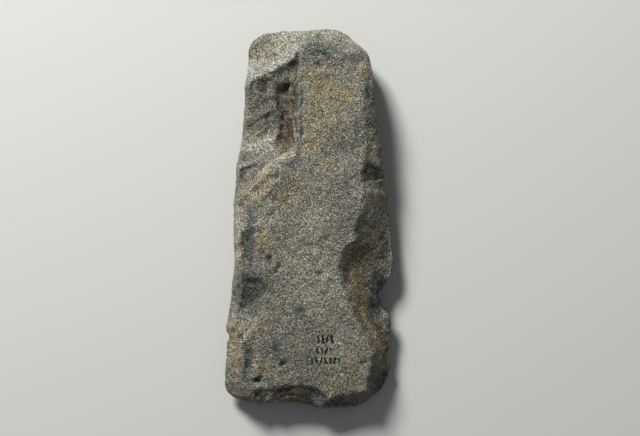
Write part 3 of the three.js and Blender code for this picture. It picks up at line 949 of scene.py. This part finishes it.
middle_tone = -(CRYSTAL_RANGE + GRAIN_RANGE) / 2 - TONE_DROP
crystal_tone = {0: crystals["Red"], 1: CRYSTAL_RANGE, 2: middle_tone}
tone = add("Math", crystal_tone, operation="MULTIPLY_ADD")
tone = add("Math", {0: grain, 1: GRAIN_RANGE, 2: tone}, operation="MULTIPLY_ADD")
brightness = add("Math", {0: 2.0, 1: tone}, operation="POWER")
change = add("Math", {0: brightness, 1: 1.0}, operation="SUBTRACT")

warmth = add("TexNoise", {"Vector": place, "Scale": 1 / (TINGE_MM * MM), "Detail": 1.0})
warm_share = add("MapRange", {"Value": warmth, "From Min": TINGE_FROM, "From Max": TINGE_TO})
tinge = add("MixRGB", {"Fac": warm_share, "Color1": WARM, "Color2": COOL})
tinged = add("VectorMath", {0: crust, 1: tinge}, operation="MULTIPLY")
grey = add("RGBToBW", {"Color": crust})
paler = add("MixRGB", {"Fac": GREYNESS, "Color1": crust, "Color2": grey})
shift = add("VectorMath", {0: paler, "Scale": change}, operation="SCALE")
surface = add("VectorMath", {0: tinged, 1: shift}, operation="ADD")
for speck, channel, share in ((FLECK, "Green", FLECK_SHARE), (PORE, "Blue", PORE_SHARE)):
    chosen = add("Math", {0: crystals[channel], 1: 1 - share}, operation="GREATER_THAN")
    surface = drawn_over(surface, speck, chosen, SPECK_STRENGTH)

jitter = add("TexNoise", {"Vector": place, "Scale": 1 / (WOBBLE_MM * MM), "Detail": 1.0})
wobble_sockets = {0: jitter, 1: STROKE_WOBBLE, 2: -STROKE_WOBBLE / 2}
wobble = add("Math", wobble_sockets, operation="MULTIPLY_ADD")
for middle, first, last, height in INK_ROWS:
    unit = np.array([STROKE_PITCH, height / 2, 1])
    start = -np.array([first + offset[0], middle + offset[1], 0]) / unit
    row = add("Mapping", {"Vector": place, "Location": start, "Scale": 1 / (unit * MM)})
    number, down, up = add("SeparateXYZ", {"Vector": row}).outputs
    lean = add("Math", {0: number}, operation="FLOOR")
    lean = add("Math", {0: lean, 1: STROKE_TURN}, operation="MULTIPLY")
    lean = add("Math", {0: lean}, operation="SINE")
    lean = add("Math", {0: lean, 1: STROKE_LEAN}, operation="MULTIPLY")
    bent = add("Math", {0: lean, 1: down, 2: number}, operation="MULTIPLY_ADD")
    bent = add("Math", {0: bent, 1: wobble}, operation="ADD")
    across = add("Math", {0: bent}, operation="FRACT")
    half_row = (last - first) / STROKE_PITCH / 2
    mark = add("Math", {0: up, 1: INK_ABOVE}, operation="GREATER_THAN")
    for value, centre, reach in (
        (across, 0.5, STROKE_WIDTH / STROKE_PITCH / 2),
        (down, 0.0, 1.0),
        (number, half_row, half_row),
    ):
        within = add("Math", {0: value, 1: centre, 2: reach}, operation="COMPARE")
        mark = add("Math", {0: mark, 1: within}, operation="MULTIPLY")
    surface = drawn_over(surface, INK, mark, 1.0)

raised = add("Math", {0: crystals["Red"], 1: CRYSTAL_BUMP, 2: grain}, operation="MULTIPLY_ADD")
relief = add("Bump", {"Height": raised, "Distance": BUMP_MM * MM, "Strength": 1.0})
stone = tree.nodes["Principled BSDF"]
tree.links.new(surface.outputs[0], stone.inputs["Base Color"])
tree.links.new(relief.outputs[0], stone.inputs["Normal"])
stone.inputs["Roughness"].default_value = STONE_ROUGHNESS
stone.inputs["Specular IOR Level"].default_value = STONE_SPECULAR
blade.data.materials.append(andesite)
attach(blade, "root")
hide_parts(BLADE)

# The floor that the blade lies on: a sheet of matt pale paper, three metres wide, so that its
# edges stay out of every view.
FLOOR_HALF_METRES = 1.5
PAPER, PAPER_ROUGHNESS = "#bdbcb8", 0.95
floor_mesh = bpy.data.meshes.new("floor")
floor_corners = np.array([(-1, -1, 0), (1, -1, 0), (1, 1, 0), (-1, 1, 0)])
floor_mesh.from_pydata(floor_corners * FLOOR_HALF_METRES, [], [(0, 1, 2, 3)])
floor = bpy.data.objects.new("floor", floor_mesh)
bpy.context.collection.objects.link(floor)
paper = bpy.data.materials.new("matt_paper")
paper.use_nodes = True
sheet = paper.node_tree.nodes["Principled BSDF"]
sheet.inputs["Base Color"].default_value = socket_colour(PAPER)
sheet.inputs["Roughness"].default_value = PAPER_ROUGHNESS
floor_mesh.materials.append(paper)

# One large soft lamp from the upper left, low enough to rake the scars, and a faint even fill
# from all round. Distance and size are metres.
KEY_HEADING, KEY_RISE, KEY_DISTANCE, KEY_SIZE, KEY_WATTS = 118, 36, 0.9, 0.24, 14.4
FILL, FILL_STRENGTH = "#dfe3e8", 0.23
key_data = bpy.data.lights.new("key", "AREA")
key_data.size = KEY_SIZE
key_data.energy = KEY_WATTS
key = bpy.data.objects.new("key", key_data)
heading, rise = math.radians(KEY_HEADING), math.radians(KEY_RISE)
key.location = np.array([
    math.cos(heading) * math.cos(rise),
    math.sin(heading) * math.cos(rise),
    math.sin(rise),
]) * KEY_DISTANCE
key.rotation_euler = (math.pi / 2 - rise, 0, heading + math.pi / 2)
bpy.context.collection.objects.link(key)
studio = bpy.data.worlds.new("studio")
studio.use_nodes = True
background = studio.node_tree.nodes["Background"]
background.inputs["Color"].default_value = socket_colour(FILL)
background.inputs["Strength"].default_value = FILL_STRENGTH
bpy.context.scene.world = studio
bpy.context.scene.view_settings.view_transform = "Standard"

# The camera looks straight down through a long lens. Its view is 214 mm wide at the height of
# the rim, which puts the blade where it stands in the frame.
VIEW_X, VIEW_Y, VIEW_WIDTH, CAMERA_HEIGHT, SENSOR = 3.45, 0.40, 214.1, 600, 36
camera_data = bpy.data.cameras.new("camera")
camera_data.sensor_width = SENSOR
camera_data.lens = SENSOR * CAMERA_HEIGHT / VIEW_WIDTH
camera = bpy.data.objects.new("camera", camera_data)
view_middle = np.array([VIEW_X + offset[0], VIEW_Y + offset[1], CAMERA_HEIGHT + RIM["height"]])
camera.location = view_middle * MM
bpy.context.collection.objects.link(camera)
bpy.context.scene.camera = camera
